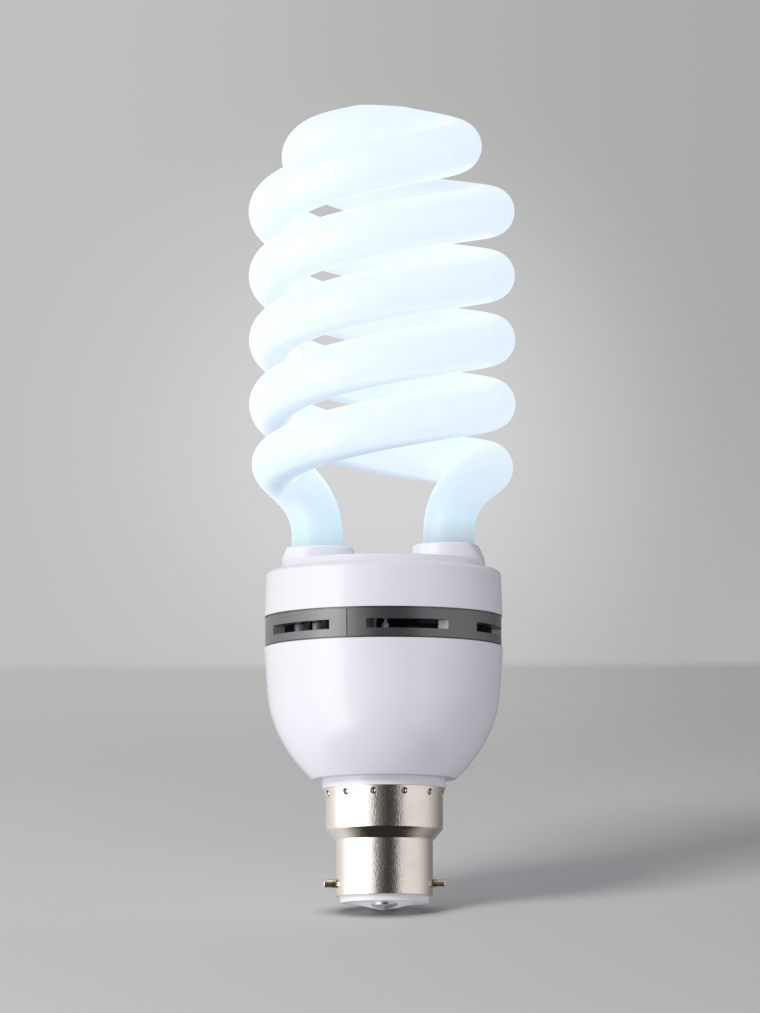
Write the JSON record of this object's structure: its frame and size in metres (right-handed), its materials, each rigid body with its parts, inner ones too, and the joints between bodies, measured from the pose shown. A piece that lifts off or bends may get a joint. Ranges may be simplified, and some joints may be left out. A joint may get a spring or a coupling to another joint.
{
  "type": "spiral compact fluorescent lamp",
  "caption": "Spiral fluorescent bulb with a white vented ballast housing and a two-pin bayonet cap.",
  "frame": {"origin": "on the bulb's axis at the lowest point of the two cap contacts", "axes": "+Z along the axis from the cap to the spiral, bayonet pins along X, front is -Y"},
  "size_m": [0.0606, 0.0606, 0.1837],
  "materials": {
    "coated_glass": "white inner coating, lit cool white, opaque",
    "white_plastic": "glossy moulded",
    "grey_plastic": "satin moulded",
    "nickel_plate": "nickel plated, faintly brushed",
    "pin_metal": "nickel plated brass",
    "white_insulator": "smooth",
    "solder": "bright solder",
    "cement": "dull",
    "capacitor_sleeve": "shrunk sleeve",
    "film_capacitor_case": "dipped epoxy",
    "black_epoxy": "moulded epoxy",
    "ceramic_disc": "lacquered",
    "tinned_metal": "tinned",
    "resistor_body": "lacquered",
    "ferrite": "sintered",
    "bobbin_plastic": "moulded",
    "copper_enamel": "enamelled copper wire",
    "wire_sleeve": "woven glass sleeve",
    "board_laminate": "paper laminate"
  },
  "bodies": {
    "root": {"ballast_board": "board_laminate", "base_resistor": "resistor_body", "bayonet_pin_left": "pin_metal", "bayonet_pin_right": "pin_metal", "bulk_capacitor": "capacitor_sleeve", "cap_insulator": "white_insulator", "cap_shell": "nickel_plate", "choke_bobbin": "bobbin_plastic", "choke_core_lower": "ferrite", "choke_core_upper": "ferrite", "choke_winding": "copper_enamel", "contact_back": "solder", "contact_front": "solder", "coupling_capacitor": "film_capacitor_case", "filter_core": "ferrite", "filter_winding": "copper_enamel", "fusible_resistor": "resistor_body", "leg_cement_left": "cement", "leg_cement_right": "cement", "lower_housing": "white_plastic", "rectifier_diode_1": "black_epoxy", "rectifier_diode_2": "black_epoxy", "rectifier_diode_3": "black_epoxy", "rectifier_diode_4": "black_epoxy", "resonance_capacitor": "film_capacitor_case", "ring_core": "ferrite", "ring_windings": "copper_enamel", "sense_resistor": "resistor_body", "start_resistor": "resistor_body", "supply_wire_back": "wire_sleeve", "supply_wire_front": "wire_sleeve", "thermistor": "ceramic_disc", "transistor_front": "black_epoxy", "transistor_side": "black_epoxy", "tube_bridge": "coated_glass", "tube_coil_lower_left": "coated_glass", "tube_coil_lower_right": "coated_glass", "tube_coil_upper_left": "coated_glass", "tube_coil_upper_right": "coated_glass", "tube_leads_left": "tinned_metal", "tube_leads_right": "tinned_metal", "tube_leg_left": "coated_glass", "tube_leg_right": "coated_glass", "upper_cover": "white_plastic", "vent_ring": "grey_plastic", "wire_posts": "tinned_metal"}
  },
  "joints": []
}
